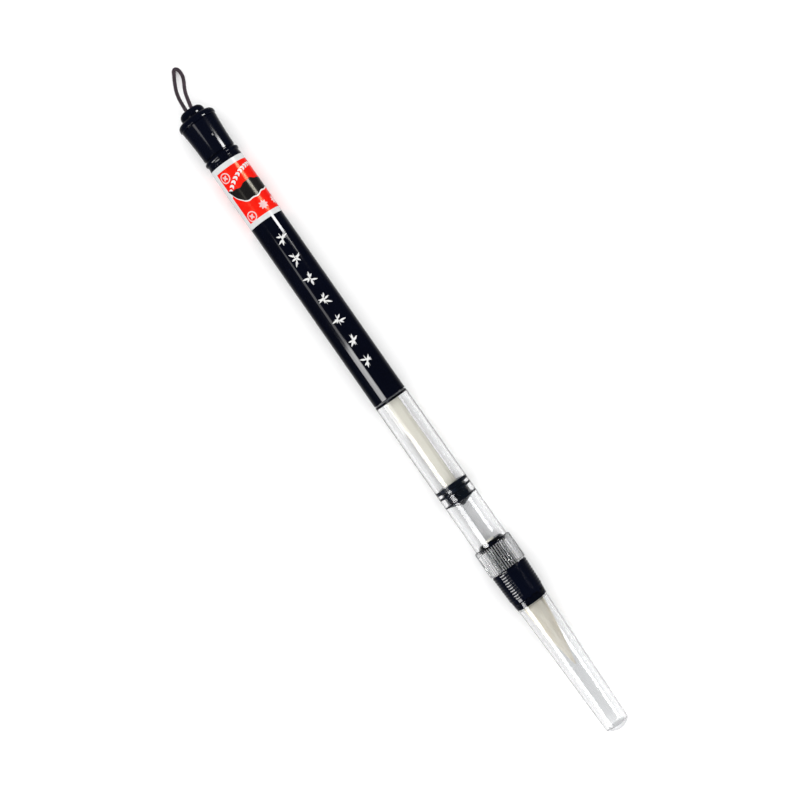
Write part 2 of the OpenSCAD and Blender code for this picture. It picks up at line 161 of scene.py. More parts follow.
def refined(outline, step, from_x, to_x):
    """The outline with its long runs between two stations cut into short ones."""
    fine = []
    for a, b in zip(outline, outline[1:] + outline[:1]):
        fine.append(a)
        inside = from_x <= (a[0] + b[0]) / 2 <= to_x
        cuts = int(math.dist(a, b) / step) if inside else 0
        fine += [mixed(a, b, k / (cuts + 1)) for k in range(1, cuts + 1)]
    return fine


def turned(outline, segments=128, radius_at=None):
    """Vertices and faces of a closed outline turned about the pen's axis.
    radius_at(x, angle, r) may shape the surface, as a knurl or a thread does."""
    verts, rings, faces = [], [], []
    for x, r in outline:
        if r < 1e-7:
            rings.append([len(verts)])
            verts.append((x, 0, AXIS_Z))
            continue
        rings.append(list(range(len(verts), len(verts) + segments)))
        for k in range(segments):
            a = TURN * k / segments
            rr = radius_at(x, a, r) if radius_at else r
            verts.append((x, -rr * math.sin(a), AXIS_Z + rr * math.cos(a)))
    for low, high in zip(rings, rings[1:] + rings[:1]):
        if len(low) == 1 and len(high) == 1:
            continue
        for k in range(segments):
            n = (k + 1) % segments
            if len(low) == 1:
                faces.append((low[0], high[n], high[k]))
            elif len(high) == 1:
                faces.append((low[k], low[n], high[0]))
            else:
                faces.append((low[k], low[n], high[n], high[k]))
    return verts, faces


def on_barrel(x, across, radius):
    """A point on a cylinder: across is the arc length from its top, towards -Y."""
    a = across / HANDLE_R
    return (x, -radius * math.sin(a), AXIS_Z + radius * math.cos(a))


# ---------------------------------------------------------------- material helpers


def principled(name, colour, roughness, **sockets):
    """A material with its shader, nodes and links."""
    mat = bpy.data.materials.new(name)
    mat.use_nodes = True
    nodes, links = mat.node_tree.nodes, mat.node_tree.links
    shader = nodes["Principled BSDF"]
    shader.inputs["Base Color"].default_value = (*colour, 1)
    shader.inputs["Roughness"].default_value = roughness
    for socket, value in sockets.items():
        shader.inputs[socket.replace("_", " ")].default_value = value
    return mat, nodes, links, shader


def noise(nodes, links, scale, detail=4.0, stretch=(1, 1, 1)):
    """Object-space noise, stretched along an axis for brushed or moulded grain."""
    coords = nodes.new("ShaderNodeTexCoord")
    mapping = nodes.new("ShaderNodeMapping")
    mapping.inputs["Scale"].default_value = stretch
    texture = nodes.new("ShaderNodeTexNoise")
    texture.inputs["Scale"].default_value = scale
    texture.inputs["Detail"].default_value = detail
    links.new(coords.outputs["Object"], mapping.inputs["Vector"])
    links.new(mapping.outputs["Vector"], texture.inputs["Vector"])
    return texture.outputs["Fac"]


def ranged(nodes, links, value, low, high, from_low=0.3, from_high=0.7):
    node = nodes.new("ShaderNodeMapRange")
    node.inputs["From Min"].default_value = from_low
    node.inputs["From Max"].default_value = from_high
    node.inputs["To Min"].default_value = low
    node.inputs["To Max"].default_value = high
    links.new(value, node.inputs["Value"])
    return node.outputs["Result"]


def bumped(nodes, links, shader, value, distance, strength=1.0):
    bump = nodes.new("ShaderNodeBump")
    bump.inputs["Strength"].default_value = strength
    bump.inputs["Distance"].default_value = distance
    links.new(value, bump.inputs["Height"])
    links.new(bump.outputs["Normal"], shader.inputs["Normal"])
    return bump


def tinted(nodes, links, shader, value, colour_a, colour_b):
    ramp = nodes.new("ShaderNodeMix")
    ramp.data_type = "RGBA"
    ramp.inputs["A"].default_value = (*colour_a, 1)
    ramp.inputs["B"].default_value = (*colour_b, 1)
    links.new(value, ramp.inputs["Factor"])
    links.new(ramp.outputs["Result"], shader.inputs["Base Color"])


def gloss_black(name, roughness=0.08, shine=0.5, wave=0.004):
    """Moulded near-black plastic: faint navy tint, handling marks, moulded ripple."""
    mat, nodes, links, shader = principled(
        name, (0.003, 0.004, 0.012), roughness, IOR=1.5, Specular_IOR_Level=shine)
    smears = noise(nodes, links, 90, 6, (0.3, 1, 1))
    links.new(ranged(nodes, links, smears, roughness, roughness + 0.05), shader.inputs["Roughness"])
    cloud = ranged(nodes, links, noise(nodes, links, 25, 3), 0, 1)
    tinted(nodes, links, shader, cloud, (0.0008, 0.0012, 0.004), (0.0014, 0.0022, 0.007))
    ripple = noise(nodes, links, 160, 2, (0.15, 1, 1))
    bumped(nodes, links, shader, ripple, wave * MM)
    return mat


def clear_plastic(name, colour, roughness, clearness=1.0, ripple_depth=0.003):
    """Clear moulded styrene with a faint haze and a slow ripple from the mould."""
    mat, nodes, links, shader = principled(
        name, colour, roughness, IOR=1.49, Transmission_Weight=clearness)
    haze = noise(nodes, links, 140, 5, (0.25, 1, 1))
    links.new(ranged(nodes, links, haze, roughness, roughness + 0.05), shader.inputs["Roughness"])
    ripple = noise(nodes, links, 60, 2, (0.2, 1, 1))
    bumped(nodes, links, shader, ripple, ripple_depth * MM)
    return mat


def matte(name, colour_a, colour_b, roughness, grain_scale, grain, stretch=(1, 1, 1), **sockets):
    """A matt or satin surface with mottled colour and a fine grain."""
    mat, nodes, links, shader = principled(name, colour_a, roughness, **sockets)
    mottle = noise(nodes, links, grain_scale * 0.2, 4, stretch)
    tinted(nodes, links, shader, ranged(nodes, links, mottle, 0, 1), colour_a, colour_b)
    fine = noise(nodes, links, grain_scale, 4, stretch)
    links.new(ranged(nodes, links, fine, roughness * 0.85, roughness * 1.15), shader.inputs["Roughness"])
    bumped(nodes, links, shader, fine, grain * MM)
    return mat


BLACK_BARREL = gloss_black("black_barrel", 0.05)
BLACK_TRIM = gloss_black("black_trim", 0.07)
BLACK_GRIP = gloss_black("black_grip", 0.05)
BLACK_WETTED = gloss_black("black_under_clear", 0.12, 0.06)
CLEAR_RESERVOIR = clear_plastic("clear_reservoir", (0.967, 0.97, 0.975), 0.02)
# Rough, part-frosted clear plastic. Its pale diffuse colour is a painted highlight that stands in for
# the glints on the knurl crests and on the shoulder at the junction.
FROST_PAINTED_HIGHLIGHT = clear_plastic("clear_reservoir_painted_highlight", (0.66, 0.66, 0.68), 0.4, 0.85, 0.02)
CLEAR_CAP = clear_plastic("clear_cap", (0.955, 0.96, 0.965), 0.02)
CLOUDED = clear_plastic("clear_cap_clouded_end", (0.86, 0.86, 0.87), 0.45, 0.55, 0.01)
RUBBER = matte("piston_rubber", (0.003, 0.005, 0.011), (0.005, 0.008, 0.015), 0.16, 900, 0.004,
               Specular_IOR_Level=0.14)
IVORY = matte("ivory_rod", (0.61, 0.59, 0.51), (0.65, 0.63, 0.555), 0.38, 500, 0.004, (0.2, 1, 1))
PAPER = matte("label_paper", (0.50, 0.51, 0.51), (0.55, 0.56, 0.565), 0.25, 1400, 0.003)
RED_INK = matte("label_red", (0.66, 0.002, 0.0005), (0.71, 0.004, 0.001), 0.19, 1400, 0.002,
                Specular_Tint=(1.0, 0.75, 0.4, 1.0))
WHITE_INK = matte("white_ink", (0.58, 0.58, 0.575), (0.64, 0.64, 0.63), 0.35, 1200, 0.004)
PINK_INK = matte("label_pink", (0.62, 0.36, 0.36), (0.66, 0.44, 0.44), 0.35, 1200, 0.002)
BLACK_INK = matte("label_black", (0.006, 0.0055, 0.006), (0.010, 0.009, 0.010), 0.19, 1200, 0.002,
                  Specular_Tint=(1.0, 0.95, 0.8, 1.0))
CORD = matte("loop_cord", (0.020, 0.008, 0.016), (0.045, 0.02, 0.035), 0.6, 2500, 0.02,
             Sheen_Weight=0.4, Sheen_Roughness=0.4)
ACETAL = matte("grey_acetal", (0.55, 0.55, 0.52), (0.62, 0.62, 0.6), 0.4, 600, 0.004)
STEEL = matte("steel_pin", (0.2, 0.2, 0.21), (0.3, 0.3, 0.31), 0.35, 900, 0.003, Metallic=1.0)
WICK = matte("wick_fibre", (0.78, 0.75, 0.66), (0.86, 0.83, 0.75), 0.8, 1500, 0.02, (0.1, 1, 1))
SLEEVE = matte("sleeve_plastic", (0.78, 0.76, 0.66), (0.84, 0.82, 0.73), 0.4, 600, 0.004)
RESIN_ROOT = matte("glued_root", (0.45, 0.32, 0.18), (0.55, 0.41, 0.25), 0.5, 900, 0.02, (0.1, 1, 1))
THREAD = matte("binding_thread", (0.80, 0.78, 0.70), (0.9, 0.88, 0.82), 0.7, 2500, 0.01)
HAIR = matte("goat_hair", (0.90, 0.84, 0.70), (0.96, 0.93, 0.85), 0.5, 1800, 0.01, (0.05, 1, 1),
             Sheen_Weight=0.3, Sheen_Roughness=0.5)

# ---------------------------------------------------------------- the hanging loop

CORD_R = 0.6 * MM
STRAND_Y = 0.95
# out from the boss's face in mm, across in mm, and height: 1 level with the axis, 0 on the floor
LOOP_ROUTE = [
    (0, STRAND_Y, 1), (0.9, 0.98, 1), (1.8, 1.2, 0.98), (3, 1.45, 0.93), (4.3, 1.75, 0.85),
    (5.6, 2.15, 0.74), (6.9, 2.7, 0.61), (8.2, 3.35, 0.46), (9.5, 3.9, 0.32), (10.8, 4.2, 0.19),
    (12, 4.22, 0.09), (12.9, 4.05, 0.04), (13.5, 3.6, 0.02), (13.45, 3, 0.02), (12.9, 2.55, 0.05),
    (12, 2.1, 0.1), (10.8, 1.45, 0.19), (9.5, 0.85, 0.32), (8.2, 0.3, 0.46), (6.9, -0.15, 0.61),
    (5.6, -0.45, 0.74), (4.3, -0.68, 0.85), (3, -0.8, 0.93), (1.8, -0.87, 0.98), (0.9, -0.93, 1),
    (0, -STRAND_Y, 1),
]


def smooth_path(points, per_span):
    """Points of a Catmull-Rom curve through the route."""
    p = [points[0] * 2 - points[1], *points, points[-1] * 2 - points[-2]]
    path = []
    for i in range(1, len(p) - 2):
        for k in range(per_span):
            t = k / per_span
            a, b, c, d = p[i - 1], p[i], p[i + 1], p[i + 2]
            path.append(0.5 * (2 * b + (c - a) * t + (2 * a - 5 * b + 4 * c - d) * t * t
                               + (3 * b - 3 * c + d - a) * t ** 3))
    return path + [points[-1]]


def swept(path, radius, sides, relief):
    """A closed tube along a path. relief(along, angle) scales its radius."""
    verts, faces, along = [], [], 0.0
    side = Vector((0, 1, 0))
    for i, here in enumerate(path):
        going = (path[min(i + 1, len(path) - 1)] - path[max(i - 1, 0)]).normalized()
        side = (side - going * side.dot(going)).normalized()
        up = going.cross(side)
        along += (here - path[i - 1]).length if i else 0
        for k in range(sides):
            a = TURN * k / sides
            r = radius * relief(along, a)
            verts.append(here + (side * math.cos(a) + up * math.sin(a)) * r)
    for i in range(len(path) - 1):
        for k in range(sides):
            n = (k + 1) % sides
            low, high = i * sides, (i + 1) * sides
            faces.append((low + k, low + n, high + n, high + k))
    faces.append(tuple(range(sides - 1, -1, -1)))
    faces.append(tuple(range(len(verts) - sides, len(verts))))
    return verts, faces, along


def braid(along, angle):
    """Relief of a round braid: two sets of strands that cross."""
    carriers, lay = 4, 1.9 * MM
    left = math.cos(carriers * angle + TURN * along / lay)
    right = math.cos(carriers * angle - TURN * along / lay)
    return 0.90 + 0.10 * max(left, right) ** 2


def make_loop():
    route = [Vector((TAIL_X - out * MM, y * MM, CORD_R + (AXIS_Z - CORD_R) * height))
             for out, y, height in LOOP_ROUTE]
    path = smooth_path(route, 12)
    verts, faces, length = swept(path, CORD_R, 24, braid)
    cord = piece("hanging_loop_cord", verts, faces, "knob", CORD, ["hanging_loop"], 60)

    knot_x, knot_r, knot_half_len = KNOB_X + 3.4 * MM, 0.95 * MM, 0.9 * MM
    for side in (-1, 1):
        start = Vector((knot_x, side * 0.8 * MM, AXIS_Z))
        end = Vector((TAIL_X + 0.01 * MM, side * STRAND_Y * MM, AXIS_Z))
        inner = [start.lerp(end, k / 40) for k in range(41)]
        verts, faces, _ = swept(inner, CORD_R, 24, braid)
        piece(f"loop_strand_{(side + 3) // 2}", verts, faces, "knob", CORD, crease=60)
    tie = [Vector((knot_x + knot_half_len * math.sin(2 * a), knot_r * math.cos(3 * a),
                   AXIS_Z + knot_r * math.sin(3 * a))) for a in [TURN * k / 96 for k in range(91)]]
    verts, faces, _ = swept(tie, CORD_R, 16, braid)
    piece("loop_knot_tie", verts, faces, "knob", CORD, ["loop_knot"], 60)


make_loop()

# ---------------------------------------------------------------- knob, collar and handle

COLLAR_SOCKET_R = 4.6 * MM
RESERVOIR_SPIGOT_R = 5.0 * MM


def make_knob():
    flange_x = KNOB_X + 2.4 * MM
    boss_r = 4.0 * MM
    waist_r = 5.35 * MM
    knot_room = 3.3 * MM
    strand_hole_r = 1.2 * MM
    room_end_x, shaft_hole_x = KNOB_X + 5.5 * MM, KNOB_X + 6.4 * MM
    dome, dome_r = 1.5 * MM, boss_r + 0.2 * MM
    corners = [(KNOB_X, knot_room, 0), (KNOB_X, boss_r + 0.15 * MM, 0.1 * MM)]
    for k in range(1, 9):
        a = math.radians(90 * k / 9)
        r = dome_r + (FLANGE_R - dome_r) * math.sin(a)
        corners.append((KNOB_X + dome * (1 - math.cos(a)), r, 0))
    corners += [(KNOB_X + 1.7 * MM, FLANGE_R, 0.1 * MM), (flange_x - 0.2 * MM, FLANGE_R, 0.12 * MM),
                (flange_x, FLANGE_R - 0.45 * MM, 0.06 * MM)]
    flare = FLANGE_R - 0.27 * MM - waist_r
    flare_len = KNOB_END - flange_x - 0.4 * MM
    for k in range(16, -1, -1):
        share = k / 16
        corners.append((KNOB_END - 0.2 * MM - flare_len * share, waist_r + flare * share ** 2, 0))
    corners += [(KNOB_END, waist_r - 0.15 * MM, 0.08 * MM), (KNOB_END, SHAFT_R + FIT, 0),
                (shaft_hole_x, SHAFT_R + FIT, 0), (shaft_hole_x, strand_hole_r, 0),
                (room_end_x, strand_hole_r, 0), (room_end_x, knot_room, 0)]
    verts, faces = turned(filleted(corners), 192)
    knob = piece("tail_knob_shell", verts, faces, "knob", BLACK_TRIM, ["tail_knob"], 28)
    drill_pin_hole(knob)

    face_r, boss_dome = 2.4 * MM, 1.7 * MM
    hole_r = 1.65 * MM
    plug_r = knot_room - 0.02 * MM
    seat_x, plug_x = KNOB_X - 0.03 * MM, KNOB_X + 1.6 * MM
    corners = [(TAIL_X + 0.02 * MM, hole_r, 0.15 * MM)]
    for k in range(0, 10):
        a = math.radians(90 * k / 9)
        r = face_r + (boss_r - face_r) * math.sin(a)
        corners.append((TAIL_X + boss_dome * (1 - math.cos(a)), r, 0))
    corners += [(seat_x, boss_r, 0.12 * MM), (seat_x, plug_r, 0), (plug_x, plug_r, 0.2 * MM),
                (plug_x, hole_r, 0)]
    verts, faces = turned(filleted(corners), 128)
    piece("loop_boss_plug", verts, faces, "knob", BLACK_TRIM, ["loop_boss"], 28)


def drill_pin_hole(knob):
    """Cuts the cross pin's hole, where the CAD pin stands."""
    low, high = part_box("knob_pin")
    tilt = math.radians(18)
    centre_x = (low[0] + high[0]) / 2
    mesh = bpy.data.meshes.new("drill")
    sides, r = 32, 0.42 * MM
    bottom, top = 4.6 * MM, 7 * MM
    out = Vector((0, math.sin(tilt), math.cos(tilt)))
    cross = Vector((0, math.cos(tilt), -math.sin(tilt)))
    verts = []
    for reach in (bottom, top):
        for k in range(sides):
            a = TURN * k / sides
            centre = Vector((centre_x, 0, AXIS_Z)) + out * reach
            verts.append(centre + Vector((1, 0, 0)) * r * math.cos(a) + cross * r * math.sin(a))
    faces = [(k, (k + 1) % sides, sides + (k + 1) % sides, sides + k) for k in range(sides)]
    faces += [tuple(range(sides - 1, -1, -1)), tuple(range(sides, 2 * sides))]
    mesh.from_pydata(verts, [], faces)
    drill = bpy.data.objects.new("drill", mesh)
    bpy.context.collection.objects.link(drill)
    cut = knob.modifiers.new("pin_hole", "BOOLEAN")
    cut.object = drill
    cut.operation = "DIFFERENCE"
    bpy.context.view_layer.objects.active = knob
    bpy.ops.object.modifier_apply(modifier=cut.name)
    bpy.data.objects.remove(drill)


def make_collar():
    bead_x, bead_half_len = COLLAR_X + 1.15 * MM, 0.8 * MM
    base_r = 5.05 * MM
    bead_r = HANDLE_R + 0.28 * MM
    spigot_r = COLLAR_SOCKET_R - FIT
    hole_r = SHAFT_R + 0.05 * MM
    seat_x, end_x = HANDLE_X - 0.02 * MM, span("tail_collar")[1]
    corners = [(COLLAR_X, hole_r, 0), (COLLAR_X, base_r, 0), (bead_x - bead_half_len, base_r, 0.05 * MM)]
    for k in range(1, 12):
        a = math.radians(-90 + 150 * k / 11)
        r = base_r + (bead_r - base_r) * math.cos(a)
        corners.append((bead_x + bead_half_len * math.sin(a), r, 0))
    corners += [(HANDLE_X - 0.8 * MM, HANDLE_R - 0.14 * MM, 0.15 * MM),
                (seat_x, HANDLE_R - 0.05 * MM, 0.05 * MM), (seat_x, spigot_r, 0),
                (end_x, spigot_r, 0.2 * MM), (end_x, hole_r, 0)]
    verts, faces = turned(filleted(corners), 160)
    piece("tail_collar_ring", verts, faces, "barrel", BLACK_TRIM, ["tail_collar"], 28)


def make_handle():
    bore_r = 4.2 * MM
    edge = 0.06 * MM
    front_r, front = RESERVOIR_SPIGOT_R + 0.02 * MM, JUNCTION_X - 6.6 * MM
    back_r, back = COLLAR_SOCKET_R, SHAFT_FLANGE_X
    corners = [(HANDLE_X, back_r, 0), (HANDLE_X, HANDLE_R, edge), (JUNCTION_X, HANDLE_R, edge),
               (JUNCTION_X, front_r, 0), (front, front_r, 0), (front, bore_r, 0),
               (back, bore_r, 0), (back, back_r, 0)]
    verts, faces = turned(filleted(corners), 192)
    piece("handle_shell", verts, faces, "barrel", BLACK_BARREL, ["handle_tube"], 28)


make_knob()
make_collar()
make_handle()

# ---------------------------------------------------------------- label and printed ornaments

LABEL_X, LABEL_END = span("paper_label")
LABEL_R = widest("paper_label")
LAYER = 0.006 * MM
SEAM = 6.8 * MM          # arc from the top of the handle to the label's outer edge, towards -Y
BORDER = 1.6 * MM
ROUND = TURN * HANDLE_R


def make_label():
    """The wrapped paper, one turn round with a short overlap at its seam."""
    steps, overlap = 240, 1.8 * MM
    edge_r = HANDLE_R + 0.004 * MM
    paper, ramp, bevel = 0.07 * MM, 0.5 * MM, 0.02 * MM

    def outer(across):
        into = across - (SEAM - overlap)
        rise = min(1, max(0, into / ramp))
        return LABEL_R + paper * rise * rise * (3 - 2 * rise)

    across_all = [SEAM - ROUND * (1 - k / steps) for k in range(steps + 1)]
    verts, faces = [], []
    for across in across_all:
        top = outer(across)
        rows = [(LABEL_X, edge_r), (LABEL_X, top - bevel), (LABEL_X + bevel, top),
                (LABEL_END - bevel, top), (LABEL_END, top - bevel), (LABEL_END, edge_r)]
        verts += [on_barrel(x, across, r) for x, r in rows]
    per = 6
    for i in range(steps):
        for k in range(per):
            n = (k + 1) % per
            a, b = i * per, (i + 1) * per
            faces.append((a + n, a + k, b + k, b + n))
    faces += [tuple(range(per)), tuple(range(len(verts) - 1, len(verts) - 1 - per, -1))]
    piece("label_wrap", verts, faces, "barrel", PAPER, ["paper_label"], 25)


def printed(name, verts, faces, material):
    """A thin printed layer on the barrel, facing outwards."""
    facing = []
    for face in faces:
        corners = [Vector(verts[i]) for i in face]
        middle = sum(corners, Vector()) / len(corners)
        normal = (corners[1] - corners[0]).cross(corners[-1] - corners[0])
        outwards = Vector((0, middle.y, middle.z - AXIS_Z))
        facing.append(face if normal.dot(outwards) > 0 else face[::-1])
    return piece(name, verts, facing, "barrel", material, closed=False)


def strip(name, rows, radius, material):
    """A printed area: rows of (across, from x, to x), joined one to the next."""
    verts, faces = [], []
    for across, x0, x1 in rows:
        verts += [on_barrel(x, across, radius) for x in (x0, x1)]
    for i in range(len(rows) - 1):
        faces.append((2 * i, 2 * i + 1, 2 * i + 3, 2 * i + 2))
    return printed(name, verts, faces, material)


def patch(shapes, radius):
    """Vertices and faces of small printed shapes. Each is a list of rows of (x, across)."""
    verts, faces = [], []
    for rows in shapes:
        base, width = len(verts), len(rows[0])
        for row in rows:
            verts += [on_barrel(x, across, radius) for x, across in row]
        for i in range(len(rows) - 1):
            for k in range(width - 1):
                a = base + i * width + k
                faces.append((a, a + 1, a + width + 1, a + width))
    return verts, faces


def ring_shape(x, across, outer, inner):
    """A plain printed ring, or a dot where inner is 0."""
    steps = 40
    return [[(x + r * math.cos(TURN * k / steps), across + r * math.sin(TURN * k / steps))
             for r in (inner, (inner + outer) / 2, outer)] for k in range(steps + 1)]


def leaf_shape(x, across, length, width, angle):
    """A pointed leaf that starts at a point and grows along an angle."""
    along = (math.cos(angle), math.sin(angle))
    side = (-along[1], along[0])
    rows = []
    for k in range(11):
        t = k / 10
        half = width / 2 * math.sin(math.pi * t ** 0.8) + 0.01 * MM
        rows.append([(x + along[0] * length * t + side[0] * half * s,
                      across + along[1] * length * t + side[1] * half * s)
                     for s in (-1, -0.5, 0, 0.5, 1)])
    return rows


def brush_band(grow):
    """Rows of the label's black band: an upright brush stroke that ends in a slanting tip."""
    tail, tip_len = 5.2 * MM, 3.4 * MM
    start = SEAM - ROUND + BORDER
    steps = 150
    rows = []
    for k in range(steps + 1):
        across = start + (tail - start) * k / steps
        turn = across / MM
        tip = min(1, max(0, (across - tail + tip_len) / tip_len))
        left = LABEL_X + (8.3 + 0.42 * math.sin(turn * 0.8 + 0.6) + 0.16 * math.sin(turn * 2.3)) * MM
        right = LABEL_X + (12.9 + 0.5 * math.sin(turn * 0.55 + 2.2) + 0.18 * math.sin(turn * 1.9)) * MM
        rows.append((across, left, mixed((right,), (left,), tip ** 1.4)[0] + grow))
    return rows


def make_label_print():
    start = SEAM - ROUND + BORDER
    stop = SEAM - BORDER
    steps = 150
    red = [(start + (stop - start) * k / steps, LABEL_X + BORDER + 0.15 * MM, LABEL_END - BORDER)
           for k in range(steps + 1)]
    strip("label_red_field", red, LABEL_R + LAYER, RED_INK)
    strip("label_band_outline", brush_band(0.42 * MM), LABEL_R + 2 * LAYER, WHITE_INK)
    strip("label_band", brush_band(0), LABEL_R + 3 * LAYER, BLACK_INK)

    marks = []
    for x, across in ((4.05, 3.05), (17.9, 2.95)):
        marks.append(ring_shape(LABEL_X + x * MM, across * MM, 1.65 * MM, 1.3 * MM))
        for petal in range(4):
            angle = TURN * (petal + 0.5) / 4
            marks.append(leaf_shape(LABEL_X + x * MM, across * MM, 0.98 * MM, 0.55 * MM, angle))
    star_x = LABEL_X + 16.9 * MM
    for across in (-7.0, -2.1):
        for petal in range(8):
            marks.append(leaf_shape(star_x, across * MM, 1.55 * MM, 0.78 * MM, TURN * petal / 8))
    verts, faces = patch(marks, LABEL_R + 2 * LAYER)
    printed("label_pink_marks", verts, faces, PINK_INK)

    leaves = []
    for k in range(11):
        share = k / 10
        x = LABEL_X + (3.5 + 5.3 * share ** 2) * MM
        across = (-7.4 + 12.0 * share) * MM
        for turn_by in (0.5, -0.55):
            leaves.append(leaf_shape(x, across, 1.35 * MM, 0.62 * MM, 1.25 - 0.35 * share + turn_by))
    verts, faces = patch(leaves, LABEL_R + 2 * LAYER)
    printed("label_leaf_chain", verts, faces, WHITE_INK)


def make_ornaments():
    """Seven plain bamboo sprigs printed in white along the handle."""
    first, pitch, across = HANDLE_X + 29.1 * MM, 7.38 * MM, -0.75 * MM
    spread_out = (-2.5, -1.75, -0.9, 0.35, 1.2, 2.1)
    for number in range(7):
        x = first + pitch * number
        lean = 0.35 * math.sin(2.1 * number)
        shapes = [leaf_shape(x - 1.9 * MM, across, 3.8 * MM, 0.28 * MM, lean * 0.3)]
        for k, angle in enumerate(spread_out):
            root = x + (0.55 * math.cos(1.7 * k + number) - 0.1) * MM
            length = (1.9 + 0.45 * math.sin(2.3 * k + 1.3 * number)) * MM
            shapes.append(leaf_shape(root, across, length, 0.56 * MM, angle + lean))
        verts, faces = patch(shapes, HANDLE_R + LAYER)
        printed(f"printed_sprig_{number + 1}", verts, faces, WHITE_INK)


make_label()
make_label_print()
make_ornaments()

# ---------------------------------------------------------------- reservoir, piston and drive

ROD_R = 2.25 * MM
KNURL_RIBS = 48
KNURL_LEN = 8.7 * MM
KNURL_DEPTH = 0.28 * MM
THREAD_PITCH = 1.0 * MM
THREAD_DEPTH = 0.16 * MM
THREAD_SOCKET_R = BORE_R + 0.45 * MM
THREAD_CORE_R = BORE_R + 0.2 * MM


def thread_height(x, angle):
    """Height of a right-handed thread: a blunt ridge once a pitch."""
    phase = (x / THREAD_PITCH - angle / TURN) % 1
    return THREAD_DEPTH * min(1, max(0, 1.6 - 3.2 * abs(phase - 0.5)))


def make_reservoir():
    back_x = span("reservoir_tube")[0]
    end_x = RESERVOIR_END
    spigot_r = RESERVOIR_SPIGOT_R
    knurl_x = end_x - KNURL_LEN
    bevel, chamfer = 0.3 * MM, 0.45 * MM
    thread_x = end_x - 4.1 * MM
    corners = [
        (back_x, BORE_R, 0.05 * MM), (back_x, spigot_r, 0.15 * MM), (JUNCTION_X + FIT, spigot_r, 0),
        (JUNCTION_X + chamfer, HANDLE_R, 0.12 * MM),
        (knurl_x, HANDLE_R, 0.1 * MM), (knurl_x + FIT, FLANGE_R - bevel, 0.05 * MM),
        (knurl_x + bevel, FLANGE_R, 0.08 * MM), (end_x - bevel, FLANGE_R, 0.08 * MM),
        (end_x, FLANGE_R - bevel, 0.05 * MM), (end_x, THREAD_SOCKET_R, 0.1 * MM),
        (thread_x, THREAD_SOCKET_R, 0.05 * MM), (thread_x, BORE_R, 0.05 * MM),
    ]
    outline = refined(filleted(corners), 0.1 * MM, thread_x, end_x)

    def shaped(x, angle, r):
        if r > HANDLE_R + 0.2 * MM:
            rib = 0.5 - 0.5 * math.cos(KNURL_RIBS * angle)
            return r - KNURL_DEPTH * rib ** 1.4
        if thread_x + 0.1 * MM < x < end_x - 0.1 * MM and r < THREAD_SOCKET_R + 0.01 * MM:
            return r - THREAD_DEPTH + thread_height(x, angle)
        return r

    verts, faces = turned(outline, KNURL_RIBS * 10, shaped)
    shell = piece("reservoir_shell", verts, faces, "barrel", CLEAR_RESERVOIR,
                  ["reservoir_tube"], 40)
    crest_r = FLANGE_R - KNURL_DEPTH * 0.3

    # The faces that get the painted highlight: the knurl crests and the shoulder at the junction.
    def painted_highlight_faces(x, r):
        on_crest = r > crest_r and x > knurl_x
        at_junction = x < JUNCTION_X + 0.5 * MM
        on_shoulder = at_junction and spigot_r + 0.02 * MM < r < HANDLE_R - 0.02 * MM
        return on_crest or on_shoulder

    second_finish(shell, FROST_PAINTED_HIGHLIGHT, painted_highlight_faces)


def make_guide():
    back_x, front_x = span("rod_guide")
    hole_r = ROD_R + 0.05 * MM
    land = BORE_R + WET
    relief = BORE_R - 0.5 * MM
    corners = [
        (back_x, hole_r, 0), (back_x, land, 0.1 * MM), (back_x + 1 * MM, land, 0.05 * MM),
        (back_x + 1.2 * MM, relief, 0.05 * MM), (front_x - 0.85 * MM, relief, 0.05 * MM),
        (front_x - 0.7 * MM, land, 0.04 * MM), (front_x, land, 0.06 * MM), (front_x, hole_r, 0.08 * MM),
    ]
    verts, faces = turned(filleted(corners), 160)
    piece("rod_guide_ring", verts, faces, "barrel", BLACK_WETTED, ["rod_guide"], 28)


def make_piston():
    rod_back, rod_front = span("piston_rod")[0], PISTON_X - 0.02 * MM
    half_flat = 2.0 * MM
    nut_r, nut_end = 1.71 * MM, rod_back + 4 * MM
    hollow_r, hollow_end = 1.5 * MM, rod_back + 46 * MM

    def flats(_, angle, r):
        up = abs(math.cos(angle))
        return min(r, half_flat / up) if up > 1e-6 and r > 2.1 * MM else r

    corners = [
        (rod_back, nut_r, 0), (rod_back, ROD_R, 0.15 * MM), (rod_front, ROD_R, 0.15 * MM),
        (rod_front, 0, 0), (hollow_end, 0, 0), (hollow_end, hollow_r, 0),
        (nut_end, hollow_r, 0), (nut_end, nut_r, 0),
    ]
    verts, faces = turned(filleted(corners), 144, flats)
    piece("piston_rod_shaft", verts, faces, "piston", IVORY, ["piston_rod"], 24)

    lip = BORE_R + WET
    waist = 4.05 * MM
    stations = [
        (0, 0, 0), (0, lip, 0.12), (1.2, lip, 0.08), (1.4, waist, 0.1), (1.9, waist, 0.1),
        (2.1, lip, 0.06), (2.8, lip, 0.06), (3.1, waist, 0.1), (4.9, waist, 0.1),
        (5.2, lip, 0.05), (5.75, lip, 0.08), (7.45, 0.35 * MM, 0.2), (7.5, 0, 0),
    ]
    corners = [(PISTON_X + x * MM, r, f * MM) for x, r, f in stations]
    verts, faces = turned(filleted(corners), 160)
    piece("piston_seal_cup", verts, faces, "piston", RUBBER, ["piston_seal"], 28)


